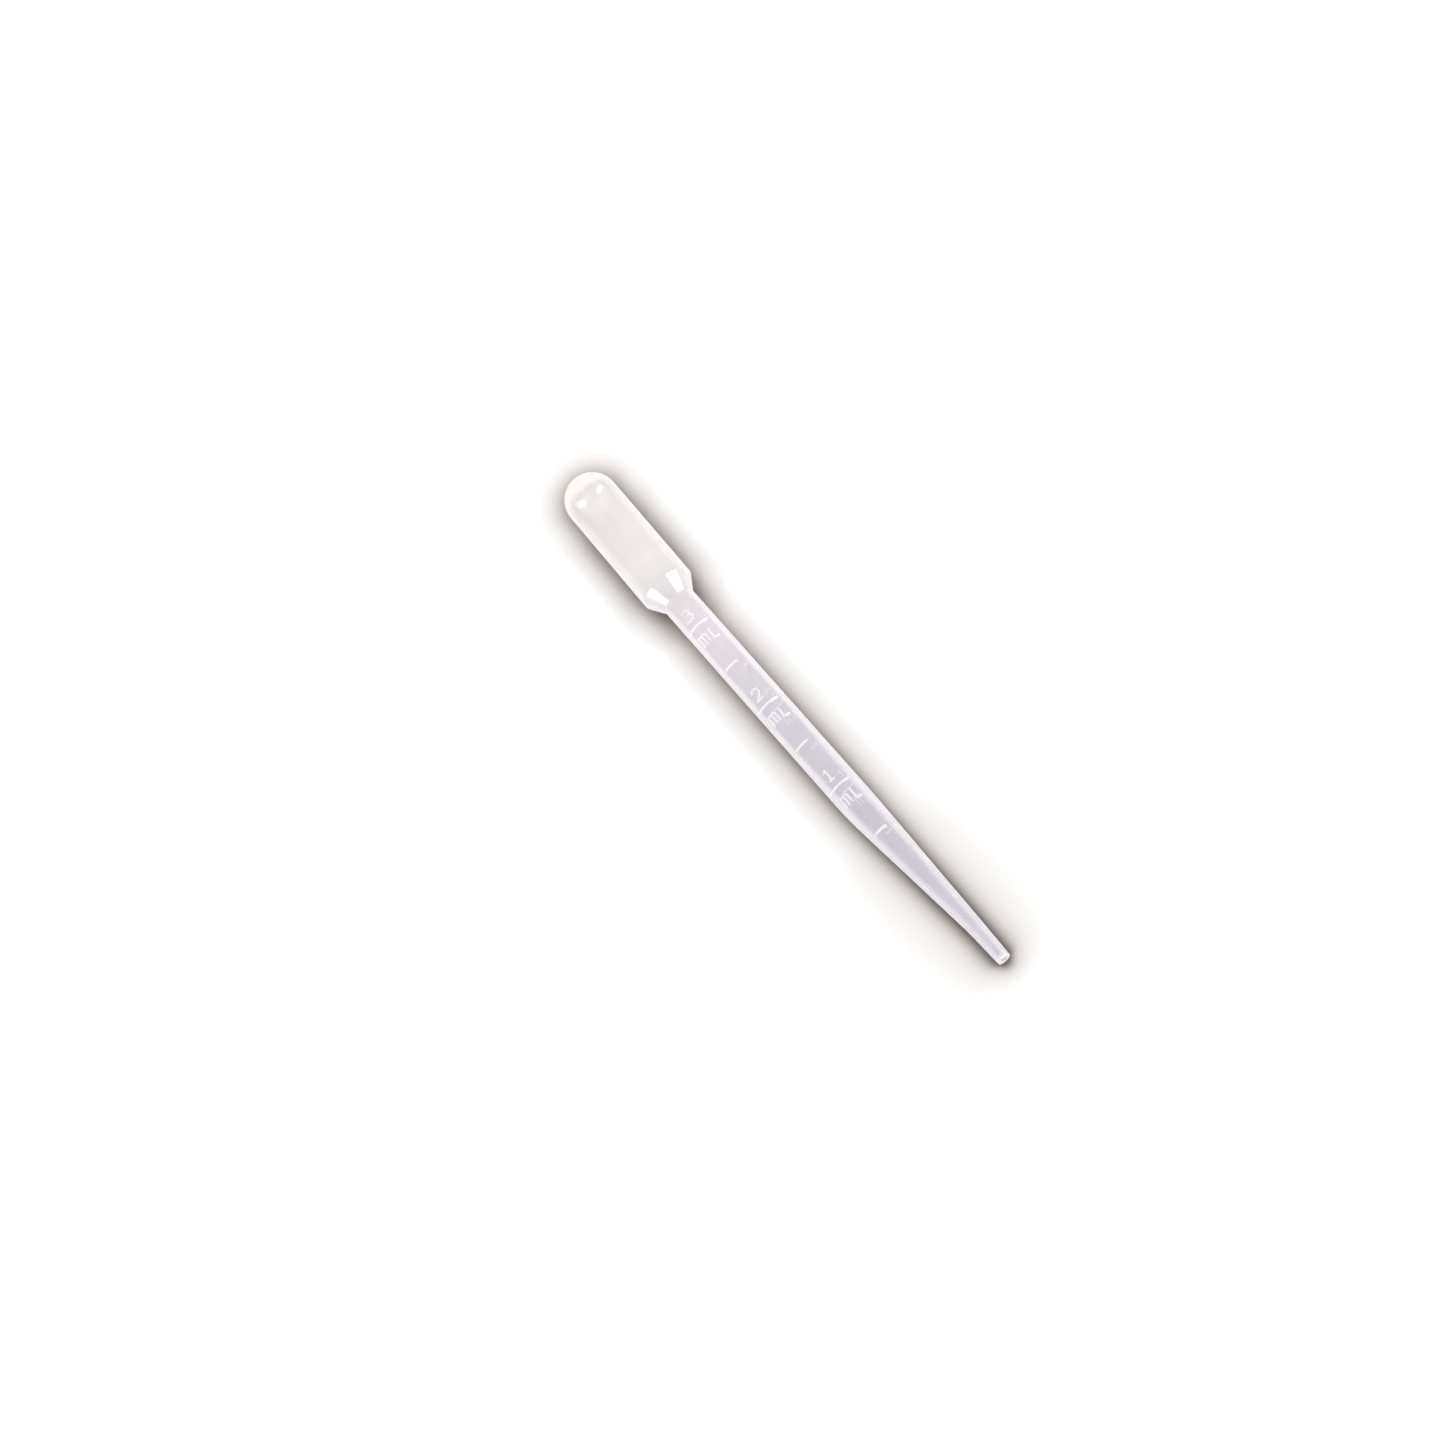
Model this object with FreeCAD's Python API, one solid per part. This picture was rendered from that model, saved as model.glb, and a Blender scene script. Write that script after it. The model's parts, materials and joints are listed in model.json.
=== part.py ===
# Plastic dropper pipette, blow moulded in one piece from soft polyethylene: a domed squeeze bulb,
# a shoulder, a straight stem with a raised scale, a long taper and a narrow tip that is cut square.
#
# The moulding is built upright, as it is held in use: the tip's cut end is at height 0, the stem's
# axis is +Z and the scale faces -Y. It is then laid down as it comes to rest, with the scale up.
# Lengths are in millimetres, angles in degrees and volumes in millilitres.
import FreeCAD, Part
import math
import os

# Squeeze bulb
bulb_diameter = 13.0
bulb_straight = 30.3  # from the shoulder to the foot of the dome, which is half a ball
bulb_wall = 0.45
bulb_lean = 1.0  # the bulb leans to the right of the stem's axis

# Shoulder, a cone from the bulb in to the stem
shoulder_length = 4.4
shoulder_edge_round = 0.5  # outside, where it meets the bulb
shoulder_foot_round = 0.8  # outside, where it meets the stem

# Stem; its length is what the scale and the room above it need
stem_diameter = 8.0
stem_wall = 0.5

# Taper and tip; the neck is where the taper runs into the tip
taper_length = 38.2
neck_diameter = 3.73
neck_bore = 2.6
tip_length = 9.6
tip_diameter = 3.14
tip_bore = 2.2
tip_sideways = 1.33  # how far the tip stands to the right of the stem's axis
bend_length = 2.0  # the taper bends over this length at either end

# Raised scale; its lines stand where the bore holds each volume, counted from the cut end
numbered_lines = (1, 2, 3)
half_lines = (0.5, 1.5, 2.5)
headroom = 9.5  # stem above the top line
scale_turn = -13.5  # the scale's middle sits to the left of the front
relief = 0.2  # how far the marks stand out
pen = 0.45  # width of a character's strokes
line_width = 0.6
long_line = 5.95
short_line = 3.6
digit_height = 3.35
digit_width = 2.25
foot_width = 1.55  # of the 1
flag = 0.6  # of the 1, down and across
three_flat = 0.45  # of the 3, the level run in each bow
digit_gap = 1.7  # from a line's middle up to its digit
unit_gap = 2.2  # from a line's middle down to its unit
l_height = 3.1
l_width = 1.5
m_height = 2.9
m_width = 2.35
letter_gap = 0.68
unit_shift = 0.45  # the unit's middle, to the right of the digit's

# What follows from these sizes
bulb_bore = bulb_diameter - 2 * bulb_wall
stem_bore = stem_diameter - 2 * stem_wall
stem_at = tip_length + taper_length
mm3_per_ml = 1000.0
overrun = 1.0  # how far a cutting shape runs past what it cuts


def middle_aside(height):
    """How far the moulding's middle lies to the right of the stem's axis."""
    return tip_sideways * max(0, stem_at - height) / taper_length


def frustum_volume(small, large, length):
    """Volume of a round bore that widens evenly from one diameter to the other."""
    return math.pi * length * (small**2 + small * large + large**2) / 12


def fill_height(volume):
    """Height above the cut end up to which the bore holds a volume, given in millilitres."""
    tip = frustum_volume(tip_bore, neck_bore, tip_length)
    taper = frustum_volume(neck_bore, stem_bore, taper_length)
    left = volume * mm3_per_ml - tip
    if left > taper:
        return stem_at + (left - taper) / (math.pi * stem_bore**2 / 4)
    widening = (stem_bore - neck_bore) / taper_length
    diameter = (neck_bore**3 + 12 * left * widening / math.pi) ** (1 / 3)
    return tip_length + (diameter - neck_bore) / widening


shoulder_at = fill_height(max(numbered_lines)) + headroom
bulb_at = shoulder_at + shoulder_length

# Lying down, the bulb's edge and the stem's lower end touch the surface behind the pipette. The
# line through those two points gives its tilt, and the tip hangs just far enough back to touch too.
rest_slope = (bulb_diameter - stem_diameter) / 2 / (bulb_at - stem_at)
tip_back = stem_diameter / 2 - rest_slope * stem_at - tip_diameter / 2

upright = FreeCAD.Vector(0, 0, 1)
stem_end = FreeCAD.Vector(0, 0, stem_at)
tip_end = FreeCAD.Vector(tip_sideways, tip_back, 0)
neck = tip_end + upright * tip_length
taper_axis = (stem_end - neck).normalize()
bulb_foot = FreeCAD.Vector(0, 0, bulb_at)
lean = math.radians(bulb_lean)
bulb_axis = FreeCAD.Vector(math.sin(lean), 0, math.cos(lean))


def ring(diameter, centre, axis=upright):
    """A circle about a point, square to an axis."""
    circle = Part.Wire(Part.Circle(FreeCAD.Vector(), upright, diameter / 2).toShape())
    circle.Placement = FreeCAD.Placement(centre, FreeCAD.Rotation(upright, axis))
    return circle


def lower_form(tip_size, neck_size, stem_size, bulb_size, start=tip_end):
    """Tip, taper, stem and shoulder as one solid of the given diameters."""
    bend_share = bend_length / taper_length
    lower_bend = neck_size + (stem_size - neck_size) * bend_share
    upper_bend = stem_size - (stem_size - neck_size) * bend_share
    rings = [
        ring(tip_size, start),
        ring(neck_size, neck),
        ring(lower_bend, neck + taper_axis * bend_length, taper_axis),
        ring(upper_bend, stem_end - taper_axis * bend_length, taper_axis),
        ring(stem_size, stem_end),
        ring(stem_size, FreeCAD.Vector(0, 0, shoulder_at)),
        ring(bulb_size, bulb_foot, bulb_axis),
    ]
    return Part.makeLoft(rings, True, True)


def bulb_form(diameter):
    """The bulb with its dome as one solid, about its leaning axis."""
    dome_foot = bulb_foot + bulb_axis * bulb_straight
    barrel = Part.makeCylinder(diameter / 2, bulb_straight, bulb_foot, bulb_axis)
    dome = Part.makeSphere(diameter / 2, dome_foot, bulb_axis, 0, 90, 360)
    return barrel.fuse(dome)


def round_at(solid, height, radius):
    """Rounds the edge that runs around the solid at one height."""
    reach = bulb_diameter / 2 * math.sin(lean) + 0.01
    low, high = height - reach, height + reach
    around = [e for e in solid.Edges if e.BoundBox.ZMin > low and e.BoundBox.ZMax < high]
    return solid.makeFillet(radius, around)


def outside():
    """The whole outer form, filled."""
    lower = lower_form(tip_diameter, neck_diameter, stem_diameter, bulb_diameter)
    whole = lower.fuse(bulb_form(bulb_diameter)).removeSplitter()
    whole = round_at(whole, bulb_at, shoulder_edge_round)
    return round_at(whole, shoulder_at, shoulder_foot_round)


def cavity():
    """The space inside, which runs out through the cut end."""
    outlet = tip_end - upright * overrun
    lower = lower_form(tip_bore, neck_bore, stem_bore, bulb_bore, outlet)
    return lower.fuse(bulb_form(bulb_bore)).removeSplitter()


def at(right, up):
    """A point on the plane that the marks are drawn on, which stands upright through the axis."""
    return FreeCAD.Vector(right, 0, up)


def bow(right, up, radius, start, stop):
    """An arc about a point, from one angle to another, counted upwards from the right."""
    angles = [math.radians(a) for a in (start, (start + stop) / 2, stop)]
    points = [at(right + radius * math.cos(a), up + radius * math.sin(a)) for a in angles]
    return Part.Arc(*points).toShape()


def straight(start, stop):
    """A straight edge between two points."""
    return Part.LineSegment(start, stop).toShape()


def bar(start, stop, width):
    """The face of one straight stroke with round ends."""
    along = (stop - start).normalize()
    side = FreeCAD.Vector(along.z, 0, -along.x) * (width / 2)
    end = along * (width / 2)
    outline = [
        straight(start + side, stop + side),
        Part.Arc(stop + side, stop + end, stop - side).toShape(),
        straight(stop - side, start - side),
        Part.Arc(start - side, start - end, start + side).toShape(),
    ]
    return Part.Face(Part.Wire(outline))


def stroke(edges):
    """The face that the pen leaves along edges that bend or turn."""
    return Part.Wire(edges).makeOffset2D(pen / 2, fill=True)


def digit_one(height):
    """A 1 with a flag and a foot, drawn about its middle."""
    half = (foot_width - pen) / 2
    return [
        stroke([straight(at(0, 0), at(0, height)), straight(at(0, height), at(-flag, height - flag))]),
        bar(at(-half, 0), at(half, 0), pen),
    ]


def digit_two(height):
    """A 2 with a round head and a flat foot."""
    half = (digit_width - pen) / 2
    leaves = -40  # where the head runs into the slope down to the foot
    turn = math.radians(leaves)
    head_up = height - half
    end = at(half * math.cos(turn), head_up + half * math.sin(turn))
    return [
        stroke(
            [
                bow(0, head_up, half, 165, leaves),
                straight(end, at(-half, 0)),
                straight(at(-half, 0), at(half, 0)),
            ]
        )
    ]


def digit_three(height):
    """A 3 of two bows, each with a flat run in it, the lower one taller."""
    upper = height * 0.23
    lower = height / 2 - upper
    aside = three_flat / 2
    top = [
        bow(-aside, height - upper, upper, 155, 90),
        straight(at(-aside, height), at(aside, height)),
        bow(aside, height - upper, upper, 90, -90),
    ]
    foot = [
        bow(aside, lower, lower, 90, -90),
        straight(at(aside, 0), at(-aside, 0)),
        bow(-aside, lower, lower, -90, -155),
    ]
    return [stroke(top + foot)]


def letter_m(height):
    """An m of three legs under two arches, from its left leg."""
    arch = (m_width - pen) / 4
    faces = [bar(at(0, 0), at(0, height), pen)]
    for left in (0, 2 * arch):
        right = left + 2 * arch
        spring = height - arch
        edges = [bow(left + arch, spring, arch, 180, 0), straight(at(right, spring), at(right, 0))]
        faces.append(stroke(edges))
    return faces


def letter_l(height):
    """A capital L, from its upright."""
    foot = l_width - pen
    return [stroke([straight(at(0, height), at(0, 0)), straight(at(0, 0), at(foot, 0))])]


def moved(faces, right, up):
    """Copies of the faces, moved on the plane they are drawn on."""
    return [f.translated(at(right, up)) for f in faces]


def numbered_mark(number, height):
    """A long line with its digit above and the unit below, as faces."""
    digits = {1: digit_one, 2: digit_two, 3: digit_three}
    unit_left = unit_shift - (m_width + letter_gap + l_width) / 2 + pen / 2
    unit_up = height - unit_gap - l_height + pen / 2
    l_left = unit_left + m_width + letter_gap
    return (
        level_line(long_line, height)
        + moved(digits[number](digit_height - pen), 0, height + digit_gap + pen / 2)
        + moved(letter_m(m_height - pen), unit_left, unit_up)
        + moved(letter_l(l_height - pen), l_left, unit_up)
    )


def level_line(length, height):
    """A line of the scale, as a face."""
    half = (length - line_width) / 2
    return [bar(at(-half, height), at(half, height), line_width)]


def marks():
    """Every raised mark, as deep as the stem's skin and the relief."""
    faces = []
    for number in numbered_lines:
        faces += numbered_mark(number, fill_height(number))
    for volume in half_lines:
        height = fill_height(volume)
        faces += moved(level_line(short_line, height), middle_aside(height), 0)
    blocks = [f.extrude(FreeCAD.Vector(0, -bulb_diameter, 0)) for f in faces]
    scale = blocks[0].fuse(blocks[1:])
    scale.rotate(FreeCAD.Vector(), upright, scale_turn)
    sizes = (tip_diameter, neck_diameter, stem_diameter, bulb_diameter)
    return scale.common(lower_form(*[size + 2 * relief for size in sizes]))


def pipette():
    """The finished moulding, upright."""
    return outside().fuse(marks()).cut(cavity()).removeSplitter().Solids[0]


def laid_down(solid):
    """The moulding at rest on the surface z = 0, over the middle of the box that holds it."""
    right, back, up = FreeCAD.Vector(0, 1, 0), FreeCAD.Vector(0, 0, -1), FreeCAD.Vector(-1, 0, 0)
    flat = FreeCAD.Placement(FreeCAD.Vector(), FreeCAD.Rotation(right, back, up, "XYZ"))
    tilt = FreeCAD.Rotation(FreeCAD.Vector(0, 1, 0), math.degrees(math.atan(rest_slope)))
    solid.Placement = FreeCAD.Placement(FreeCAD.Vector(), tilt) * flat
    box = solid.optimalBoundingBox(False)
    solid.translate(FreeCAD.Vector(-box.Center.x, -box.Center.y, -box.ZMin))
    return solid


os.makedirs("parts", exist_ok=True)
finished = laid_down(pipette())
finished.exportStep("parts/pipette.step")
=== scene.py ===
"""Plastic dropper pipette: the finished look of one blow-moulded piece of milky polyethylene.

The moulding has a domed squeeze bulb, a shoulder, a straight stem with a raised scale, a long taper
and a narrow tip that is cut square. It is drawn upright in millimetres, as it is held in use: the
tip's cut end is at height 0, the stem's axis points up and the scale faces the front. It is then
laid down where the frame holds it.
"""

import json
import logging
import math
from dataclasses import dataclass, field
from enum import Enum

import bpy
import numpy as np
from mathutils import Matrix, Vector


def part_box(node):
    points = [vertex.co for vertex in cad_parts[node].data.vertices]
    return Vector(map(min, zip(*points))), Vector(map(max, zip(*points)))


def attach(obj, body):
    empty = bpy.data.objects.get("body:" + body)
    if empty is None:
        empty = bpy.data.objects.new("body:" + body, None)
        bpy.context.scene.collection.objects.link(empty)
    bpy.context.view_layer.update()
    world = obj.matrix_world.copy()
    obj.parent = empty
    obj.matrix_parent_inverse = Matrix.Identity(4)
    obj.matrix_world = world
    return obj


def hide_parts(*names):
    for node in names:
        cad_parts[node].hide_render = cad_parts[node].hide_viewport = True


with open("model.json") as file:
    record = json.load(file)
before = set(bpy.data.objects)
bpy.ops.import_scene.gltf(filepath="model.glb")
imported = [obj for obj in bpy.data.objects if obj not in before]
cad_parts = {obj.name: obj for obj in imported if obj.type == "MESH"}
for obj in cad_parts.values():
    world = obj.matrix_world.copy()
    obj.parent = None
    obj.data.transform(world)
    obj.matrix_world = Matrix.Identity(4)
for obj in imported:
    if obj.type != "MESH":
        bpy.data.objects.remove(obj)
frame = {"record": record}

log = logging.getLogger("pipette")

NODE = "pipette"  # the solid that the finished moulding stands for
BODY = "root"
MM = 0.001  # one millimetre, in metres
RAISED = "raised"  # the mesh attribute that says where the marks stand out
BORE = "bore"  # the mesh attribute that says which face of the wall is the inner one
ECHO_LIGHT = "echo"  # the mesh attribute that says where painted light, as if thrown through the marks, falls on the bore
WHITE = (1.0, 1.0, 1.0, 1.0)
NUDGE = 1e-9  # keeps the heights of two rings apart, in millimetres
MIX_SOCKETS = {"FLOAT": (2, 3, 0), "RGBA": (6, 7, 2)}  # a mix's two inputs and its output, by kind

Socket = bpy.types.NodeSocket
Value = float | Socket  # a number, or another node's output
Pair = tuple[float, float]
Colour = tuple[float, float, float]
Stops = tuple[tuple[float, float | Colour], ...]  # positions, each with the value or colour there


class Skin(Enum):
    """The two faces of the wall."""

    OUTSIDE = "outside"
    BORE = "bore"


@dataclass(frozen=True)
class Graph:
    """The nodes of a material or of the room's light, as they are put together."""

    tree: bpy.types.NodeTree

    @staticmethod
    def of(owner: bpy.types.Material | bpy.types.World) -> "Graph":
        """Empties the nodes of a material or a world and returns them."""
        owner.use_nodes = True
        owner.node_tree.nodes.clear()
        return Graph(owner.node_tree)

    def add(self, kind: str, inputs: dict | None = None, **settings: object) -> bpy.types.Node:
        """Adds a node.

        Args:
            kind: Blender's name for this kind of node.
            inputs: What each named or numbered input gets: a value, or another node's output.
            **settings: The node's own settings.

        Returns:
            The new node.
        """
        made = self.tree.nodes.new(kind)
        for name, value in settings.items():
            setattr(made, name, value)
        for name, value in (inputs or {}).items():
            socket = made.inputs[name]
            if isinstance(value, Socket):
                self.tree.links.new(value, socket)
            else:
                socket.default_value = value
        return made

    def ramp(self, share: Socket, stops: Stops) -> Socket:
        """Adds a colour ramp.

        Args:
            share: The output that the ramp reads.
            stops: Pairs of a position and a colour or a grey.

        Returns:
            The ramp's colour output.
        """
        node = self.add("ShaderNodeValToRGB", {"Fac": share})
        elements = node.color_ramp.elements
        while len(elements) < len(stops):
            elements.new(0.5)
        for element, (position, colour) in zip(elements, stops):
            element.position = position
            rgb = colour if isinstance(colour, tuple) else (colour,) * 3
            element.color = (*rgb, 1.0)
        return node.outputs["Color"]

    def math(self, kind: str, first: Value, second: Value, clamped: bool = False) -> Socket:
        """Adds a sum of two values; a clamped one stays between 0 and 1."""
        inputs = {0: first, 1: second}
        return self.add("ShaderNodeMath", inputs, operation=kind, use_clamp=clamped).outputs[0]

    def vector(self, kind: str, inputs: dict) -> bpy.types.NodeOutputs:
        """Adds a sum with vectors and returns its outputs."""
        return self.add("ShaderNodeVectorMath", inputs, operation=kind).outputs

    def remap(
        self,
        value: Socket,
        start: Value,
        stop: Value,
        low: Value = 0.0,
        high: Value = 1.0,
        soft: bool = False,
    ) -> Socket:
        """Adds a node that turns one range of values into another.

        Args:
            value: The output that it reads.
            start: The value that gives the low end.
            stop: The value that gives the high end.
            low: What it gives at the start.
            high: What it gives at the stop.
            soft: Whether it sets in and ends gently.

        Returns:
            The result.
        """
        ends = {"Value": value, "From Min": start, "From Max": stop, "To Min": low, "To Max": high}
        kind = "SMOOTHSTEP" if soft else "LINEAR"
        return self.add("ShaderNodeMapRange", ends, interpolation_type=kind).outputs[0]

    def mix(self, kind: str, share: Value, plain: Value, other: Value | tuple) -> Socket:
        """Adds a mix of two values or two colours, which is the plain one at share 0."""
        first, second, mixed = MIX_SOCKETS[kind]
        inputs = {0: share, first: plain, second: other}
        return self.add("ShaderNodeMix", inputs, data_type=kind).outputs[mixed]

    def blend(self, share: Value, plain: Socket, other: Socket) -> Socket:
        """Adds a blend of two shaders, which is the plain one at share 0."""
        return self.add("ShaderNodeMixShader", {0: share, 1: plain, 2: other}).outputs[0]

    def noise(self, spot: Socket, scale: float, detail: float) -> Socket:
        """Adds clouds, so many in a metre and broken up so many times."""
        inputs = {"Vector": spot, "Scale": scale, "Detail": detail}
        return self.add("ShaderNodeTexNoise", inputs).outputs["Fac"]


@dataclass(frozen=True)
class Corner:
    """A height at which an outline turns, and how softly it does.

    Attributes:
        height: Height above the cut end.
        value: The outline's value there, such as a radius.
        blend: How far above and below that height the turn is spread.
    """

    height: float
    value: float
    blend: float = 0.0


def outline(heights: np.ndarray, corners: list[Corner]) -> np.ndarray:
    """Follows straight runs from corner to corner, with the turns rounded.

    Args:
        heights: Heights to read the outline at.
        corners: The corners from the lowest to the highest.

    Returns:
        The outline's value at each height.
    """
    at = [corner.height for corner in corners]
    values = [corner.value for corner in corners]
    read = np.interp(heights, at, values)
    slopes = np.diff(values) / np.diff(at)
    for corner, before, after in zip(corners[1:-1], slopes[:-1], slopes[1:]):
        if not corner.blend:
            continue
        off = heights - corner.height
        near = np.abs(off) < corner.blend
        rise = (after - before) * (off + corner.blend) ** 2 / (4 * corner.blend)
        read = np.where(near, corner.value + before * off + rise, read)
    return read


@dataclass(frozen=True)
class Stroke:
    """One stroke of the scale, drawn flat.

    Attributes:
        points: Its middle line, as rows of (right, up).
        width: The width that the pen leaves.
    """

    points: np.ndarray
    width: float

    def moved(self, right: float, up: float) -> "Stroke":
        """Returns the stroke at another place."""
        return Stroke(self.points + (right, up), self.width)

    def distance(self, spots: np.ndarray) -> np.ndarray:
        """Measures how far spots lie from the stroke's middle line.

        Args:
            spots: Rows of (right, up).

        Returns:
            The distance of each spot.
        """
        nearest = np.full(len(spots), np.inf)
        for start, stop in zip(self.points[:-1], self.points[1:]):
            run = stop - start
            share = np.clip((spots - start) @ run / (run @ run), 0, 1)
            away = np.linalg.norm(spots - start - share[:, None] * run, axis=1)
            nearest = np.minimum(nearest, away)
        return nearest


@dataclass
class Moulding:
    """The hollow form without its scale. Lengths are in millimetres, angles in degrees."""

    bulb_diameter: float = 12.95
    bulb_straight: float = 30.3
    bulb_wall: float = 0.45
    bulb_lean: float = 1.0
    shoulder_length: float = 4.4
    stem_diameter: float = 8.0
    stem_wall: float = 0.5
    taper_length: float = 38.2
    neck_diameter: float = 3.73
    neck_bore: float = 2.6
    tip_length: float = 9.6
    tip_diameter: float = 3.14
    tip_bore: float = 2.2
    tip_sideways: float = 1.33
    headroom: float = 9.5
    rim_round: float = 0.12
    neck_blend: float = 3.0
    stem_blend: float = 4.0
    foot_blend: float = 0.06
    edge_blend: float = 0.05
    full_volume: float = 3.0
    rim_steps: int = 4
    dome_steps: int = 32

    @property
    def stem_bore(self) -> float:
        """The bore of the straight stem."""
        return self.stem_diameter - 2 * self.stem_wall

    @property
    def bulb_bore(self) -> float:
        """The bore of the bulb."""
        return self.bulb_diameter - 2 * self.bulb_wall

    @property
    def stem_at(self) -> float:
        """The height at which the taper ends and the straight stem begins."""
        return self.tip_length + self.taper_length

    @property
    def shoulder_at(self) -> float:
        """The height of the shoulder's foot."""
        return self.fill_height(self.full_volume) + self.headroom

    @property
    def bulb_at(self) -> float:
        """The height of the shoulder's upper edge."""
        return self.shoulder_at + self.shoulder_length

    @property
    def dome_at(self) -> float:
        """The height at which the bulb begins to close."""
        return self.bulb_at + self.bulb_straight * math.cos(math.radians(self.bulb_lean))

    @property
    def tip_back(self) -> float:
        """How far the tip hangs back, so that it touches the table as the stem and bulb do."""
        slope = (self.bulb_diameter - self.stem_diameter) / 2 / (self.bulb_at - self.stem_at)
        return self.stem_diameter / 2 - slope * self.stem_at - self.tip_diameter / 2

    def fill_height(self, volume: float) -> float:
        """Finds the height up to which the bore holds a volume.

        Args:
            volume: The volume in millilitres.

        Returns:
            The height above the cut end.
        """

        def cone(small: float, large: float, length: float) -> float:
            return math.pi * length * (small**2 + small * large + large**2) / 12

        left = volume / MM - cone(self.tip_bore, self.neck_bore, self.tip_length)
        taper = cone(self.neck_bore, self.stem_bore, self.taper_length)
        if left > taper:
            return self.stem_at + (left - taper) / (math.pi * self.stem_bore**2 / 4)
        widening = (self.stem_bore - self.neck_bore) / self.taper_length
        bore = (self.neck_bore**3 + 12 * left * widening / math.pi) ** (1 / 3)
        return self.tip_length + (bore - self.neck_bore) / widening

    def aside(self, height: float) -> float:
        """Returns how far the moulding's middle lies to the right of the stem's axis."""
        return self.tip_sideways * max(0.0, self.stem_at - height) / self.taper_length

    def rings(self, skin: Skin, heights: np.ndarray) -> np.ndarray:
        """Lists the rings that a face of the wall is made of, from the rim to the pole.

        Args:
            skin: Which face of the wall.
            heights: Heights of the rings between the rim and the dome.

        Returns:
            Rows of (height, radius).
        """
        outside = skin is Skin.OUTSIDE
        tip, neck, stem, bulb = (
            (self.tip_diameter, self.neck_diameter, self.stem_diameter, self.bulb_diameter)
            if outside
            else (self.tip_bore, self.neck_bore, self.stem_bore, self.bulb_bore)
        )
        corners = [
            Corner(0, tip / 2),
            Corner(self.tip_length, neck / 2, self.neck_blend),
            Corner(self.stem_at, stem / 2, self.stem_blend),
            Corner(self.shoulder_at, stem / 2, self.foot_blend),
            Corner(self.bulb_at, bulb / 2, self.edge_blend),
            Corner(self.dome_at, bulb / 2),
        ]
        turn = np.radians(np.linspace(0, 90, self.rim_steps + 1))[:-1]
        side = 1 if outside else -1
        rim_heights = self.rim_round * (1 - np.cos(turn))
        rim = tip / 2 - side * self.rim_round * (1 - np.sin(turn))
        above = heights[(heights > self.rim_round) & (heights < self.dome_at)]
        climb = np.radians(np.linspace(0, 90, self.dome_steps + 1))[:-1]
        dome_heights = self.dome_at + bulb / 2 * np.sin(climb)
        return np.concatenate(
            [
                np.stack([rim_heights, rim], 1),
                np.stack([above, outline(above, corners)], 1),
                np.stack([dome_heights, bulb / 2 * np.cos(climb)], 1),
            ]
        )

    def middle(self, heights: np.ndarray) -> np.ndarray:
        """Reads the line through the middle of the moulding, which the tip's set and the lean bend.

        Args:
            heights: Heights to read it at.

        Returns:
            Rows of (right, back, up).
        """
        lean = math.tan(math.radians(self.bulb_lean))
        top = self.dome_at + self.bulb_diameter
        aside = []
        for offset, drift in ((self.tip_sideways, lean), (self.tip_back, 0.0)):
            corners = [
                Corner(0, offset),
                Corner(self.tip_length, offset, self.neck_blend),
                Corner(self.stem_at, 0, self.stem_blend),
                Corner(self.bulb_at, 0, self.shoulder_length / 2),
                Corner(top, drift * (top - self.bulb_at)),
            ]
            aside.append(outline(heights, corners))
        return np.stack([*aside, heights], 1)


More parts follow.
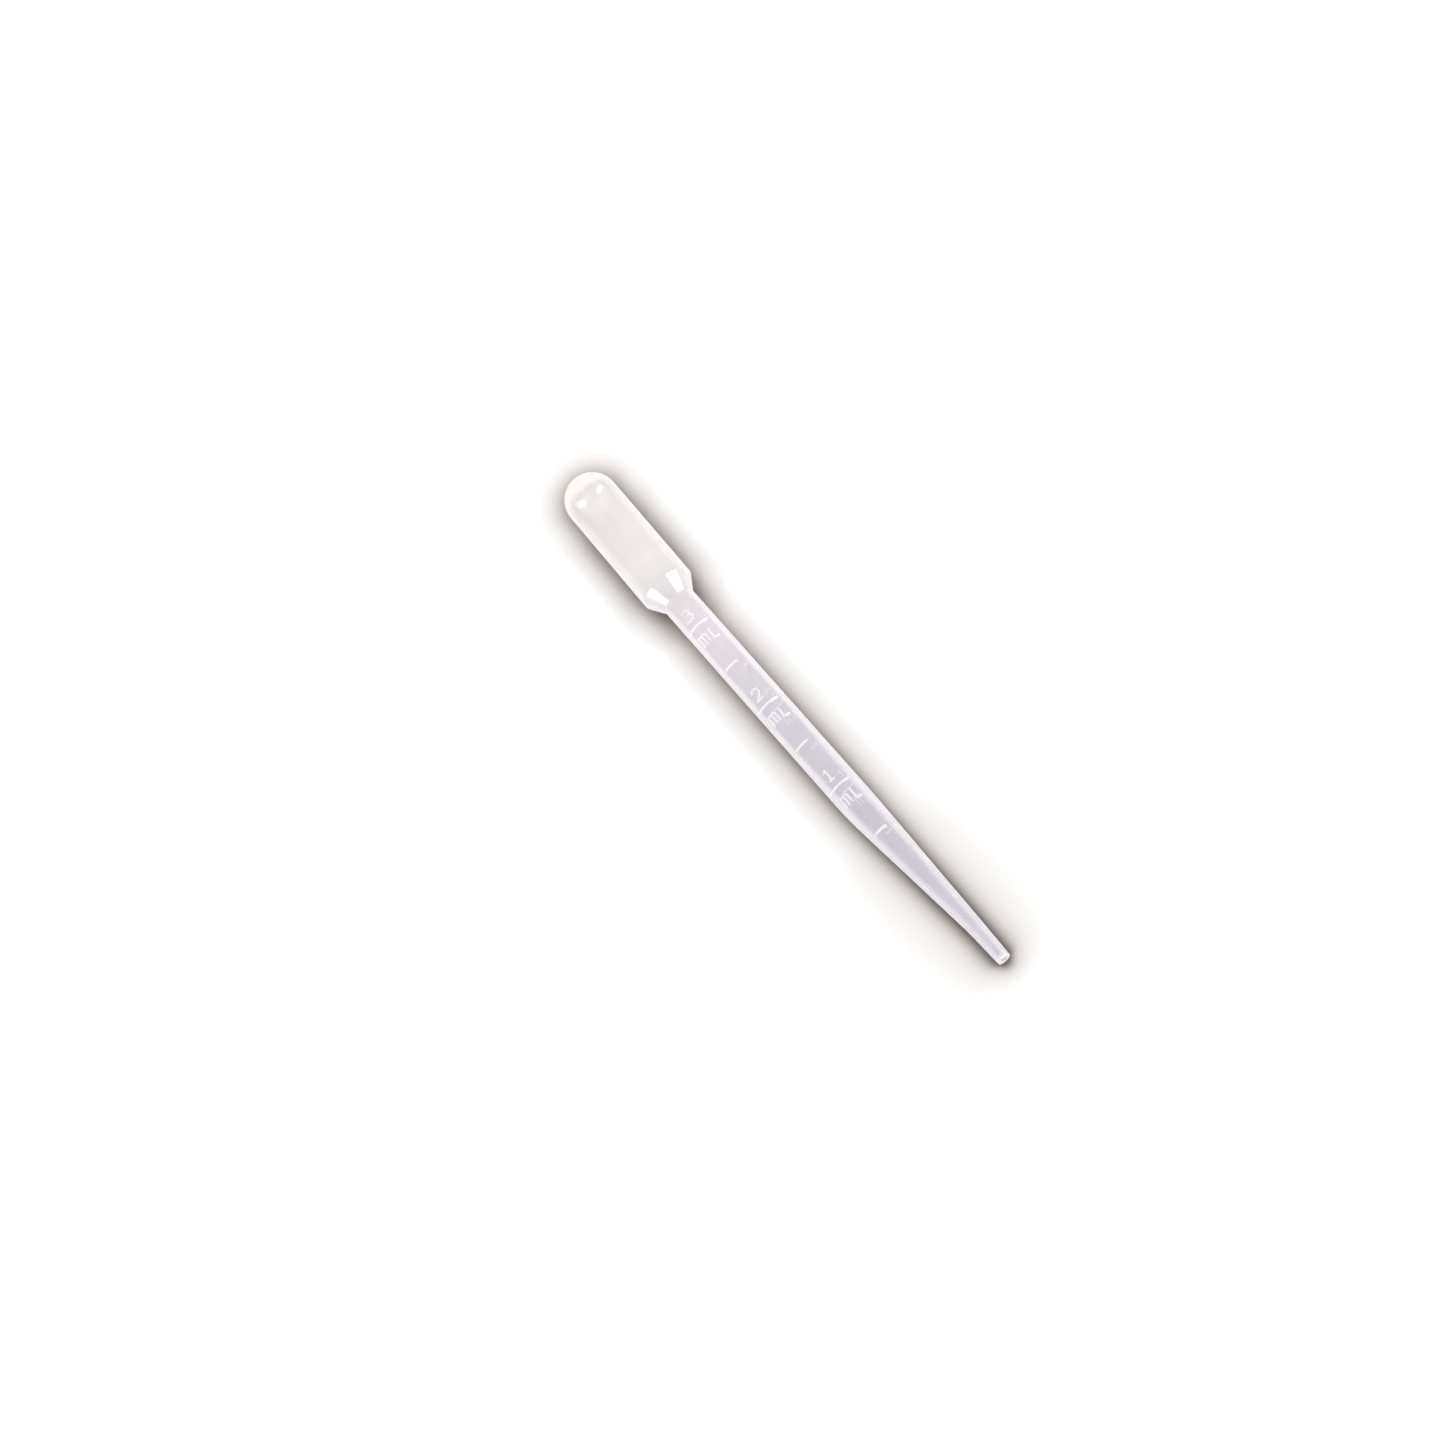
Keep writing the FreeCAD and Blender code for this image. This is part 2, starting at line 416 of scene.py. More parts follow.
@dataclass
class RaisedScale:
    """The scale's raised lines, digits and units. Lengths are in millimetres, angles in degrees."""

    moulding: Moulding
    numbered: tuple[int, ...] = (1, 2, 3)
    halves: tuple[float, ...] = (0.5, 1.5, 2.5)
    turn: float = -13.5
    relief: float = 0.18
    pen: float = 0.45
    line_width: float = 0.6
    long_line: float = 5.95
    short_line: float = 3.6
    digit_height: float = 3.35
    digit_width: float = 2.25
    foot_width: float = 1.55
    flag: float = 0.6
    two_arc: Pair = (165.0, -40.0)
    three_flat: float = 0.45
    three_upper: float = 0.23
    three_arc: float = 155.0
    digit_gap: float = 1.7
    unit_gap: float = 2.2
    l_height: float = 3.1
    l_width: float = 1.5
    m_height: float = 2.9
    m_width: float = 2.35
    letter_gap: float = 0.68
    unit_shift: float = 0.45
    edge_softness: float = 0.2
    # the marks' painted echo light: how softly it fades, and how far it drifts across and up
    echo_softness: float = 0.45
    echo_drift: Pair = (0.16, 0.15)
    arc_points: int = 19
    strokes: list[Stroke] = field(default_factory=list)

    def __post_init__(self) -> None:
        """Draws every mark at the height that its volume fills."""
        for number in self.numbered:
            self.strokes += self.numbered_mark(number, self.moulding.fill_height(number))
        for volume in self.halves:
            height = self.moulding.fill_height(volume)
            aside = self.moulding.aside(height)
            line = self.level_line(self.short_line, height)
            self.strokes += [stroke.moved(aside, 0) for stroke in line]

    def path(self, *parts: list[Pair]) -> list[Stroke]:
        """Returns one stroke of the pen along the given parts."""
        return [Stroke(np.array(sum(parts, [])), self.pen)]

    def bow(self, right: float, up: float, radius: float, start: float, stop: float) -> list[Pair]:
        """Lists points along an arc.

        Args:
            right: The arc's middle, to the right.
            up: The arc's middle, upwards.
            radius: Its radius.
            start: The angle where it starts, counted upwards from the right.
            stop: The angle where it stops.

        Returns:
            Pairs of (right, up).
        """
        turns = np.radians(np.linspace(start, stop, self.arc_points))
        return [(right + radius * math.cos(turn), up + radius * math.sin(turn)) for turn in turns]

    def level_line(self, length: float, height: float) -> list[Stroke]:
        """Returns a line of the scale, across the stem."""
        half = (length - self.line_width) / 2
        return [Stroke(np.array([(-half, height), (half, height)]), self.line_width)]

    def digit(self, number: int) -> list[Stroke]:
        """Draws a digit about its middle, standing on height 0.

        Args:
            number: 1, 2 or 3.

        Returns:
            The digit's strokes.
        """
        tall = self.digit_height - self.pen
        half = (self.digit_width - self.pen) / 2
        if number == 1:
            foot = (self.foot_width - self.pen) / 2
            upright = self.path([(0, 0), (0, tall), (-self.flag, tall - self.flag)])
            return upright + self.path([(-foot, 0), (foot, 0)])
        if number == 2:
            return self.path(self.bow(0, tall - half, half, *self.two_arc), [(-half, 0), (half, 0)])
        upper = tall * self.three_upper
        lower = tall / 2 - upper
        aside = self.three_flat / 2
        return self.path(
            self.bow(-aside, tall - upper, upper, self.three_arc, 90),
            self.bow(aside, tall - upper, upper, 90, -90),
            self.bow(aside, lower, lower, 90, -90),
            self.bow(-aside, lower, lower, -90, -self.three_arc),
        )

    def unit(self) -> list[Stroke]:
        """Draws the unit from the left leg of its m, standing on height 0."""
        tall = self.m_height - self.pen
        arch = (self.m_width - self.pen) / 4
        strokes = self.path([(0, 0), (0, tall)])
        for left in (0, 2 * arch):
            top = self.bow(left + arch, tall - arch, arch, 180, 0)
            strokes += self.path(top, [(left + 2 * arch, 0)])
        left = self.m_width + self.letter_gap
        right = left + self.l_width - self.pen
        return strokes + self.path([(left, self.l_height - self.pen), (left, 0), (right, 0)])

    def numbered_mark(self, number: int, height: float) -> list[Stroke]:
        """Draws a long line with its digit above and the unit below.

        Args:
            number: The digit.
            height: The line's height.

        Returns:
            The mark's strokes.
        """
        unit_left = self.unit_shift - (self.m_width + self.letter_gap + self.l_width - self.pen) / 2
        unit_up = height - self.unit_gap - self.l_height + self.pen / 2
        digit_up = height + self.digit_gap + self.pen / 2
        return (
            self.level_line(self.long_line, height)
            + [stroke.moved(0, digit_up) for stroke in self.digit(number)]
            + [stroke.moved(unit_left, unit_up) for stroke in self.unit()]
        )

    def spans(self) -> list[Pair]:
        """Lists the heights between which there are marks, as pairs of lowest and highest."""
        room = self.pen / 2 + self.edge_softness
        tall = max(self.digit_gap + self.digit_height, self.unit_gap + self.l_height) + room
        spans = []
        for volumes, reach in ((self.numbered, tall), (self.halves, self.line_width / 2 + room)):
            for volume in volumes:
                height = self.moulding.fill_height(volume)
                spans.append((height - reach, height + reach))
        return sorted(spans)

    def flat_places(self, points: np.ndarray) -> tuple[np.ndarray, np.ndarray]:
        """Looks at points from the scale's front.

        Args:
            points: Rows of (right, back, up).

        Returns:
            Rows of (right, up) as the marks are drawn, and how far each point lies behind the axis.
        """
        turn = math.radians(self.turn)
        across = points[:, 0] * math.cos(turn) + points[:, 1] * math.sin(turn)
        depth = points[:, 1] * math.cos(turn) - points[:, 0] * math.sin(turn)
        return np.stack([across, points[:, 2]], 1), depth

    def cover(self, spots: np.ndarray, softness: float) -> np.ndarray:
        """Measures how fully the marks cover spots.

        Args:
            spots: Rows of (right, up) as the marks are drawn.
            softness: The width over which a mark's edge fades.

        Returns:
            The share at each spot, from 0 to 1.
        """
        covered = np.zeros(len(spots))
        reach = self.line_width + softness
        for stroke in self.strokes:
            low, high = stroke.points[:, 1].min() - reach, stroke.points[:, 1].max() + reach
            near = np.flatnonzero((spots[:, 1] > low) & (spots[:, 1] < high))
            inside = stroke.width / 2 + softness / 2 - stroke.distance(spots[near])
            share = np.clip(inside / softness, 0, 1)
            covered[near] = np.maximum(covered[near], share**2 * (3 - 2 * share))
        return covered

    def lift(self, points: np.ndarray) -> np.ndarray:
        """Returns how far the marks raise points of the plain skin, given as (right, back, up)."""
        spots, depth = self.flat_places(points)
        return self.relief * self.cover(spots, self.edge_softness) * (depth < 0)

    def echo(self, points: np.ndarray) -> np.ndarray:
        """Finds where painted light, as if thrown through the marks, falls on the far side of the
        bore.

        Args:
            points: Rows of (right, back, up) on the bore.

        Returns:
            The share at each point, from 0 to 1.
        """
        spots, depth = self.flat_places(points)
        spots = spots - 2 * depth[:, None] * np.array(self.echo_drift)
        return self.cover(spots, self.echo_softness) * (depth > 0)


@dataclass(frozen=True)
class Place:
    """What the finish reads at each place of the moulding.

    Attributes:
        graph: The finish's nodes.
        spot: Where it is in the frame.
        along: How far along it is, from 0 at the tip to 1 at the dome.
        facing: How far it is turned away from the eye, from 0 to 1.
        ripples: Which way its slightly rippled face looks.
        bore: Whether it is on the bore.
        marked: How fully a mark, or the painted light of a mark's echo, veils it.
        cap: How far it belongs to the dome's end, which is partly thicker plastic and partly painted
            light on its top.
        rim: How far it belongs to the outline, which is partly the wall seen edge-on and partly a
            painted reflection of the bright table.
    """

    graph: Graph
    spot: Socket
    along: Socket
    facing: Socket
    ripples: Socket
    bore: Socket
    marked: Socket
    cap: Socket
    rim: Socket


@dataclass(frozen=True)
class MilkyPolyethylene:
    """Soft, milky, translucent plastic, smooth as it leaves the mould.

    A veil is the share of milky plastic in what is seen of a face; the rest is clear. Stops run from
    0 at the tip to 1 at the dome. Lengths are in metres, and scales are counted per metre.

    Attributes:
        shine: How much the skin mirrors where it is seen square on.
        bore_shines: The same in the hollow, from its open side.
        graze_power: How late the mirroring grows as the skin turns away.
        glint: How much brighter the dome's hollow mirrors the lamps.
        glint_from: Between which places it sets in.
        glint_faces: How far turned away it begins and ends to fade.
        passing: The share of the milky plastic's light that comes from behind.
        edge_starts: How far turned away the outline begins; the outline is partly the wall seen
            edge-on, partly a painted reflection.
        edge_stops: How far turned away the outline is full.
        cap_depth: How far the dome's whiter end reaches in: partly thicker plastic, partly painted
            light.
        cap_softness: Over what length it fades, each way.
        cap_lit_heights: Between which heights above the table it sets in, so that only the top, where
            the light falls, is painted whiter.
    """

    name: str = "milky_polyethylene"
    roughness: float = 0.08
    refraction: float = 1.51
    gloss_level: float = 1.0
    shine: float = 0.1
    bore_shines: Stops = ((0.0, 0.15), (0.94, 0.15), (0.965, 0.5), (1.0, 0.5))
    graze_power: float = 5.0
    glint: float = 1.15
    glint_from: Pair = (0.94, 0.965)
    glint_faces: Pair = (0.27, 0.37)
    glint_roughness: float = 0.2
    passing: float = 0.5
    raised_veil: float = 0.8
    # the veil of the painted light that the marks' echo puts on the bore
    echo_light_veil: float = 0.95
    unevenness: float = 0.12
    uneven_scale: float = 130.0
    uneven_detail: float = 2.0
    ripple: float = 0.00002
    ripple_scale: float = 260.0
    ripple_detail: float = 1.0
    # The colour along the moulding, partly the plastic's own tint and partly painted light and shade:
    # white at the cut end, darker and more lavender along the taper and lower stem where shade falls,
    # warmer and whiter towards the dome where the light falls.
    tint_and_shade_tones: Stops = (
        (0.0, (1.0, 0.98, 0.97)), (0.006, (1.0, 0.98, 0.97)), (0.009, (0.89, 0.87, 0.99)),
        (0.30, (0.90, 0.88, 0.99)), (0.60, (0.975, 0.93, 0.985)), (0.78, (0.985, 0.955, 0.96)),
        (1.0, (0.985, 0.955, 0.955)),
    )
    mark_and_echo_light_tone: Colour = (1.0, 0.98, 0.99)
    # the outline's tone: partly the wall seen edge-on, partly a painted reflection of the bright table
    edge_sheen_tone: Colour = (0.985, 0.96, 0.965)
    # warm white painted on the top of the dome's end, where the light falls
    cap_lit_tone: Colour = (1.0, 0.965, 0.94)
    veils: Stops = (
        (0.0, 0.6), (0.0012, 0.6), (0.0022, 0.24), (0.30, 0.18), (0.60, 0.28),
        (0.76, 0.36), (0.80, 0.46), (0.92, 0.42), (0.96, 0.32), (1.0, 0.32),
    )
    bore_veils: Stops = (
        (0.0, 0.95), (0.0032, 0.95), (0.0058, 0.25), (0.30, 0.19), (0.60, 0.28),
        (0.76, 0.36), (0.80, 0.46), (0.92, 0.42), (0.955, 0.05), (1.0, 0.05),
    )
    # the outline's veil, edge window and tone are partly a painted reflection of the bright table
    edge_veils: Stops = (
        (0.0, 0.52), (0.36, 0.51), (0.50, 0.53), (0.66, 0.56), (0.80, 0.72), (1.0, 0.74),
    )
    edge_starts: Stops = (
        (0.0, 0.03), (0.12, 0.03), (0.20, 0.06), (0.48, 0.18),
        (0.66, 0.28), (0.75, 0.38), (0.80, 0.50), (1.0, 0.50),
    )
    edge_stops: Stops = (
        (0.0, 0.16), (0.10, 0.18), (0.20, 0.30), (0.34, 0.31), (0.48, 0.50),
        (0.66, 0.52), (0.75, 0.60), (0.80, 0.70), (1.0, 0.70),
    )
    cap_veil: float = 0.93
    cap_depth: float = 0.0060
    cap_softness: float = 0.0013
    cap_lit_heights: Pair = (0.004, 0.008)

    def material(self, low: Vector, high: Vector) -> bpy.types.Material:
        """Returns the finish as a node material.

        Args:
            low: The lowest corner of the moulding's box, at the dome's end.
            high: Its highest corner, at the tip's end.

        Returns:
            The material.
        """
        made = bpy.data.materials.new(self.name)
        place = self.place(Graph.of(made), low, high)
        wall = place.graph.blend(self.milkiness(place), self.skin(place), self.body(place))
        place.graph.add("ShaderNodeOutputMaterial", {"Surface": wall})
        return made

    def place(self, graph: Graph, low: Vector, high: Vector) -> Place:
        """Adds the nodes that read what each place is like.

        Args:
            graph: The nodes that they join.
            low: The box's lowest corner.
            high: Its highest corner.

        Returns:
            What they read.
        """
        spot = graph.add("ShaderNodeTexCoord").outputs["Object"]
        length = graph.add("ShaderNodeSeparateXYZ", {0: spot}).outputs["X"]
        along = graph.remap(length, high.x, low.x)
        facing = graph.add("ShaderNodeLayerWeight").outputs["Facing"]
        raised, echo, bore = (
            graph.add("ShaderNodeAttribute", attribute_name=name).outputs["Fac"]
            for name in (RAISED, ECHO_LIGHT, BORE)
        )
        raised = graph.math("MULTIPLY", raised, self.raised_veil)
        echo = graph.math("MULTIPLY", echo, self.echo_light_veil)
        height = graph.noise(spot, self.ripple_scale, self.ripple_detail)
        bump = {"Height": height, "Strength": 1.0, "Distance": self.ripple}
        start, stop = (graph.ramp(along, stops) for stops in (self.edge_starts, self.edge_stops))
        turned = graph.remap(facing, start, stop, soft=True)
        ripples = graph.add("ShaderNodeBump", bump).outputs[0]
        marked = graph.math("MAXIMUM", raised, echo)
        cap = self.cap(graph, spot, low.x)
        rim = graph.math("SUBTRACT", turned, bore, clamped=True)
        return Place(graph, spot, along, facing, ripples, bore, marked, cap, rim)

    def cap(self, graph: Graph, spot: Socket, dome: float) -> Socket:
        """Adds the nodes for the dome's whiter end: partly thicker plastic, and partly painted light
        that whitens its top only.

        Args:
            graph: The nodes that they join.
            spot: The place in the frame.
            dome: Where the dome ends, along the frame's length.

        Returns:
            The share of that end at each place.
        """
        axes = graph.add("ShaderNodeSeparateXYZ", {0: spot}).outputs
        edge = dome + self.cap_depth
        near = graph.remap(axes["X"], edge + self.cap_softness, edge - self.cap_softness, soft=True)
        above = graph.remap(axes["Z"], *self.cap_lit_heights, soft=True)
        return graph.math("MULTIPLY", near, above)

    def milkiness(self, place: Place) -> Socket:
        """Adds the nodes for the veil: thin in the stem, cloudy, and full in marks, in their painted
        echo light and in the outline, which is partly a painted reflection.

        Args:
            place: What the finish reads at each place.

        Returns:
            The veil at each place.
        """
        graph = place.graph
        outer, inner = (graph.ramp(place.along, stops) for stops in (self.veils, self.bore_veils))
        veil = graph.mix("FLOAT", place.bore, outer, inner)
        veil = graph.mix("FLOAT", place.cap, veil, self.cap_veil)
        clouds = graph.noise(place.spot, self.uneven_scale, self.uneven_detail)
        clouds = graph.remap(clouds, 0.0, 1.0, 1 - self.unevenness, 1 + self.unevenness)
        veil = graph.math("MULTIPLY", veil, clouds, clamped=True)
        edge = graph.math("MAXIMUM", veil, graph.ramp(place.along, self.edge_veils))
        veil = graph.mix("FLOAT", place.rim, veil, edge)
        return graph.math("MAXIMUM", veil, place.marked)

    def body(self, place: Place) -> Socket:
        """Adds the shader of the milky plastic, which passes on some light from behind.

        Args:
            place: What the finish reads at each place.

        Returns:
            The shader.
        """
        graph = place.graph
        # painted light and shade along the moulding, over the plastic's own tint
        tone = graph.ramp(place.along, self.tint_and_shade_tones)
        for share, colour in (
            # the outline is whiter: partly the wall seen edge-on, partly a painted reflection
            (place.rim, self.edge_sheen_tone),
            # the top of the dome's end is painted warmer and whiter, as if lit
            (place.cap, self.cap_lit_tone),
            # marks are whiter plastic; their echo on the bore is painted light
            (place.marked, self.mark_and_echo_light_tone),
        ):
            tone = graph.mix("RGBA", share, tone, (*colour, 1.0))
        looks = {"Normal": place.ripples, "Base Color": tone, "Roughness": self.roughness}
        looks |= {"IOR": self.refraction, "Specular IOR Level": self.gloss_level}
        milk = graph.add("ShaderNodeBsdfPrincipled", looks)
        glow = graph.add("ShaderNodeBsdfTranslucent", {"Color": tone})
        return graph.blend(self.passing, milk.outputs[0], glow.outputs[0])

    def skin(self, place: Place) -> Socket:
        """Adds the shader of the clear skin, whose gloss is strongest in the dome's hollow.

        Args:
            place: What the finish reads at each place.

        Returns:
            The shader.
        """
        graph = place.graph
        behind = graph.add("ShaderNodeNewGeometry").outputs["Backfacing"]
        hollow = graph.math("SUBTRACT", place.bore, behind, clamped=True)
        square_on = graph.remap(place.facing, *self.glint_faces, 1.0, 0.0, soft=True)
        hollow = graph.math("MULTIPLY", hollow, square_on)
        inside = graph.math("MULTIPLY", hollow, place.along)
        bore_shine = graph.ramp(place.along, self.bore_shines)
        shine = graph.mix("FLOAT", hollow, self.shine, bore_shine)
        grazing = graph.math("POWER", place.facing, self.graze_power)
        mirror = graph.remap(grazing, 0.0, 1.0, shine, 1.0)
        glint = graph.remap(inside, *self.glint_from, 1.0, self.glint)
        blur = graph.remap(inside, *self.glint_from, self.roughness, self.glint_roughness)
        looks = {"Color": glint, "Roughness": blur, "Normal": place.ripples}
        gloss = graph.add("ShaderNodeBsdfAnisotropic", looks)
        clear = graph.add("ShaderNodeBsdfTransparent")
        return graph.blend(mirror, clear.outputs[0], gloss.outputs[0])


@dataclass
class Pipette:
    """The finished moulding: the hollow form with its raised scale. Lengths are in millimetres."""

    moulding: Moulding
    scale: RaisedScale
    finish: MilkyPolyethylene
    coarse_step: float = 1.1
    fine_step: float = 0.1
    echo_step: float = 0.25
    fine_half_width: float = 3.45
    bare_columns: int = 44
    bends: tuple[float, ...] = (-1.6, -1.15, -0.9, -0.5, 0.0, 0.5, 0.9, 1.15, 1.6)

    def columns(self) -> np.ndarray:
        """Returns the angles of the mesh's columns, from the front, close together under the scale."""
        count = round(2 * self.fine_half_width / self.fine_step)
        across = np.linspace(-self.fine_half_width, self.fine_half_width, count + 1)
        marked = np.arcsin(across / (self.moulding.stem_diameter / 2))
        bare = np.linspace(marked[-1], 2 * math.pi + marked[0], self.bare_columns + 1)[1:-1]
        return np.concatenate([marked, bare]) + math.radians(self.scale.turn)

    def heights(self, skin: Skin) -> np.ndarray:
        """Lists the heights of the mesh's rings, close together under the marks.

        Args:
            skin: Which face of the wall.

        Returns:
            Heights from the lowest to the highest.
        """
        form = self.moulding
        spans, step = self.scale.spans(), self.fine_step
        if skin is Skin.BORE:
            drift = self.scale.echo_drift[1] * form.stem_bore
            spans, step = [(low, high + drift) for low, high in spans], self.echo_step
        coarse = np.arange(form.rim_round, form.dome_at, self.coarse_step)
        turns = [
            [at + blend * share for share in self.bends]
            for at, blend in ((form.shoulder_at, form.foot_blend), (form.bulb_at, form.edge_blend))
        ]
        for low, high in [*spans, *((min(turn), max(turn)) for turn in turns)]:
            coarse = coarse[(coarse < low - step) | (coarse > high + step)]
        fine = [np.arange(low, high, step) for low, high in spans]
        return np.sort(np.concatenate([coarse, *turns, *fine]))

    def skin_points(self, skin: Skin) -> tuple[np.ndarray, np.ndarray]:
        """Places the mesh's points for one face of the wall.

        Args:
            skin: Which face of the wall.

        Returns:
            An array of rings by columns by (right, back, up), and each point's share of a mark, or on
            the bore of the painted light of a mark's echo.
        """
        rings = self.moulding.rings(skin, self.heights(skin))
        angles = self.columns()
        middle = self.moulding.middle(rings[:, 0])
        axis = np.gradient(middle, rings[:, 0] + np.arange(len(rings)) * NUDGE, axis=0)
        axis /= np.linalg.norm(axis, axis=1)[:, None]
        right = np.array([1.0, 0, 0]) - axis[:, :1] * axis
        right /= np.linalg.norm(right, axis=1)[:, None]
        back = np.cross(axis, right)
        outwards = (
            np.sin(angles)[None, :, None] * right[:, None, :]
            - np.cos(angles)[None, :, None] * back[:, None, :]
        )
        points = middle[:, None, :] + outwards * rings[:, 1][:, None, None]
        if skin is Skin.BORE:
            return points, self.scale.echo(points.reshape(-1, 3)).reshape(points.shape[:2])
        rise = self.scale.lift(points.reshape(-1, 3)).reshape(points.shape[:2])
        return points + outwards * rise[:, :, None], rise / self.scale.relief

    def pole(self, skin: Skin) -> np.ndarray:
        """Returns the top point of one face of the wall."""
        form = self.moulding
        wall = 0 if skin is Skin.OUTSIDE else form.bulb_wall
        height = form.dome_at + form.bulb_diameter / 2 - wall
        return form.middle(np.array([height]))[0]

    def resting_place(self) -> Matrix:
        """Reads from the frame's record how the moulding lies.

        Returns:
            The matrix that takes upright millimetres to the frame's metres.
        """
        tip = next(mount for mount in frame["record"]["mounts"] if mount["name"] == "tip")
        up = -Vector(tip["axis"]).normalized()
        right = Vector((0, 1, 0))
        back = up.cross(right)
        turned = Matrix((right, back, up)).transposed() * MM
        set_aside = Vector((self.moulding.tip_sideways, self.moulding.tip_back, 0))
        start = Vector(tip["pos_m"]) - turned @ set_aside
        return Matrix.Translation(start) @ turned.to_4x4()

    @staticmethod
    def wall_faces(outer_rings: int, bore_rings: int, count: int) -> list[tuple[int, ...]]:
        """Joins the mesh's points into one closed wall.

        Args:
            outer_rings: The number of rings on the outside.
            bore_rings: The number of rings on the bore.
            count: The number of columns.

        Returns:
            The points of each face: the outside, the bore, the cut end and both poles.
        """
        first_bore = outer_rings * count
        first_pole = first_bore + bore_rings * count
        here = np.arange(count)
        after = np.roll(here, -1)
        sheets = ((0, outer_rings, here, after), (first_bore, bore_rings, after, here))
        faces: list[tuple[int, ...]] = []
        for first, rings, start, stop in sheets:
            for low in range(first, first + (rings - 1) * count, count):
                high = low + count
                faces += zip(low + start, low + stop, high + stop, high + start)
        faces += zip(here, first_bore + here, first_bore + after, after)
        for pole, (first, rings, start, stop) in enumerate(sheets, first_pole):
            last = first + (rings - 1) * count
            faces += [(*pair, pole) for pair in zip(last + start, last + stop)]
        return [tuple(map(int, face)) for face in faces]

    def build(self) -> bpy.types.Object:
        """Builds the moulding as one closed wall and dresses it.

        Returns:
            The finished piece, where the frame holds it.
        """
        (outer, marks), (bore, echoes) = (self.skin_points(skin) for skin in Skin)
        poles = [self.pole(skin) for skin in Skin]
        points = np.concatenate([outer.reshape(-1, 3), bore.reshape(-1, 3), poles])
        mesh = bpy.data.meshes.new("pipette_moulding")
        mesh.from_pydata(points.tolist(), [], self.wall_faces(len(outer), *bore.shape[:2]))
        mesh.transform(self.resting_place())
        mesh.validate()
        mesh.shade_smooth()
        piece = put("pipette_moulding", mesh)
        plain, inner = np.zeros(marks.size), np.zeros(echoes.size)
        for name, values in (
            (RAISED, [marks.ravel(), inner, [0, 0]]),
            # the painted echo light of the marks, on the bore only
            (ECHO_LIGHT, [plain, echoes.ravel(), [0, 0]]),
            (BORE, [plain, inner + 1, [0, 1]]),
        ):
            shares = mesh.attributes.new(name, "FLOAT", "POINT")
            shares.data.foreach_set("value", np.concatenate(values).astype(np.float32))
        low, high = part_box(NODE)
        mesh.materials.append(self.finish.material(low, high))
        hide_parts(NODE)
        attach(piece, BODY)
        return piece


def put(name: str, data: bpy.types.ID) -> bpy.types.Object:
    """Puts a mesh, a lamp or a camera into the scene and returns its object."""
    made = bpy.data.objects.new(name, data)
    bpy.context.scene.collection.objects.link(made)
    return made


def direction(azimuth: float, elevation: float) -> Vector:
    """Returns the unit vector towards an azimuth and an elevation, both in degrees."""
    around, above = math.radians(azimuth), math.radians(elevation)
    return Vector(
        (math.sin(around) * math.cos(above), -math.cos(around) * math.cos(above), math.sin(above))
    )


@dataclass(frozen=True)
class SoftBox:
    """A rectangular studio lamp with a diffuser.

    Attributes:
        name: The lamp's name.
        azimuth: Where it stands, in degrees; 0 is in front and 90 to the right.
        elevation: How high it stands, in degrees above the table.
        distance: How far it is from the pipette, in metres.
        size: Its width and height, in metres.
        power: Its power in watts.
        spin: How far it is turned about the line to the pipette, in degrees.
        mirrored: Whether it shows in glossy faces.
    """

    name: str
    azimuth: float
    elevation: float
    distance: float
    size: Pair
    power: float
    spin: float = 0.0
    mirrored: bool = True

    def hang(self) -> bpy.types.Object:
        """Hangs the lamp where it stands, facing the pipette, and returns it."""
        lamp = bpy.data.lights.new(self.name, "AREA")
        lamp.shape = "RECTANGLE"
        lamp.size, lamp.size_y = self.size
        lamp.energy = self.power
        stand = put(self.name, lamp)
        stand.visible_glossy = self.mirrored
        away = direction(self.azimuth, self.elevation)
        stand.location = away * self.distance
        spun = Matrix.Rotation(math.radians(self.spin), 3, "Z")
        stand.rotation_euler = ((-away).to_track_quat("-Z", "Y").to_matrix() @ spun).to_euler()
        return stand


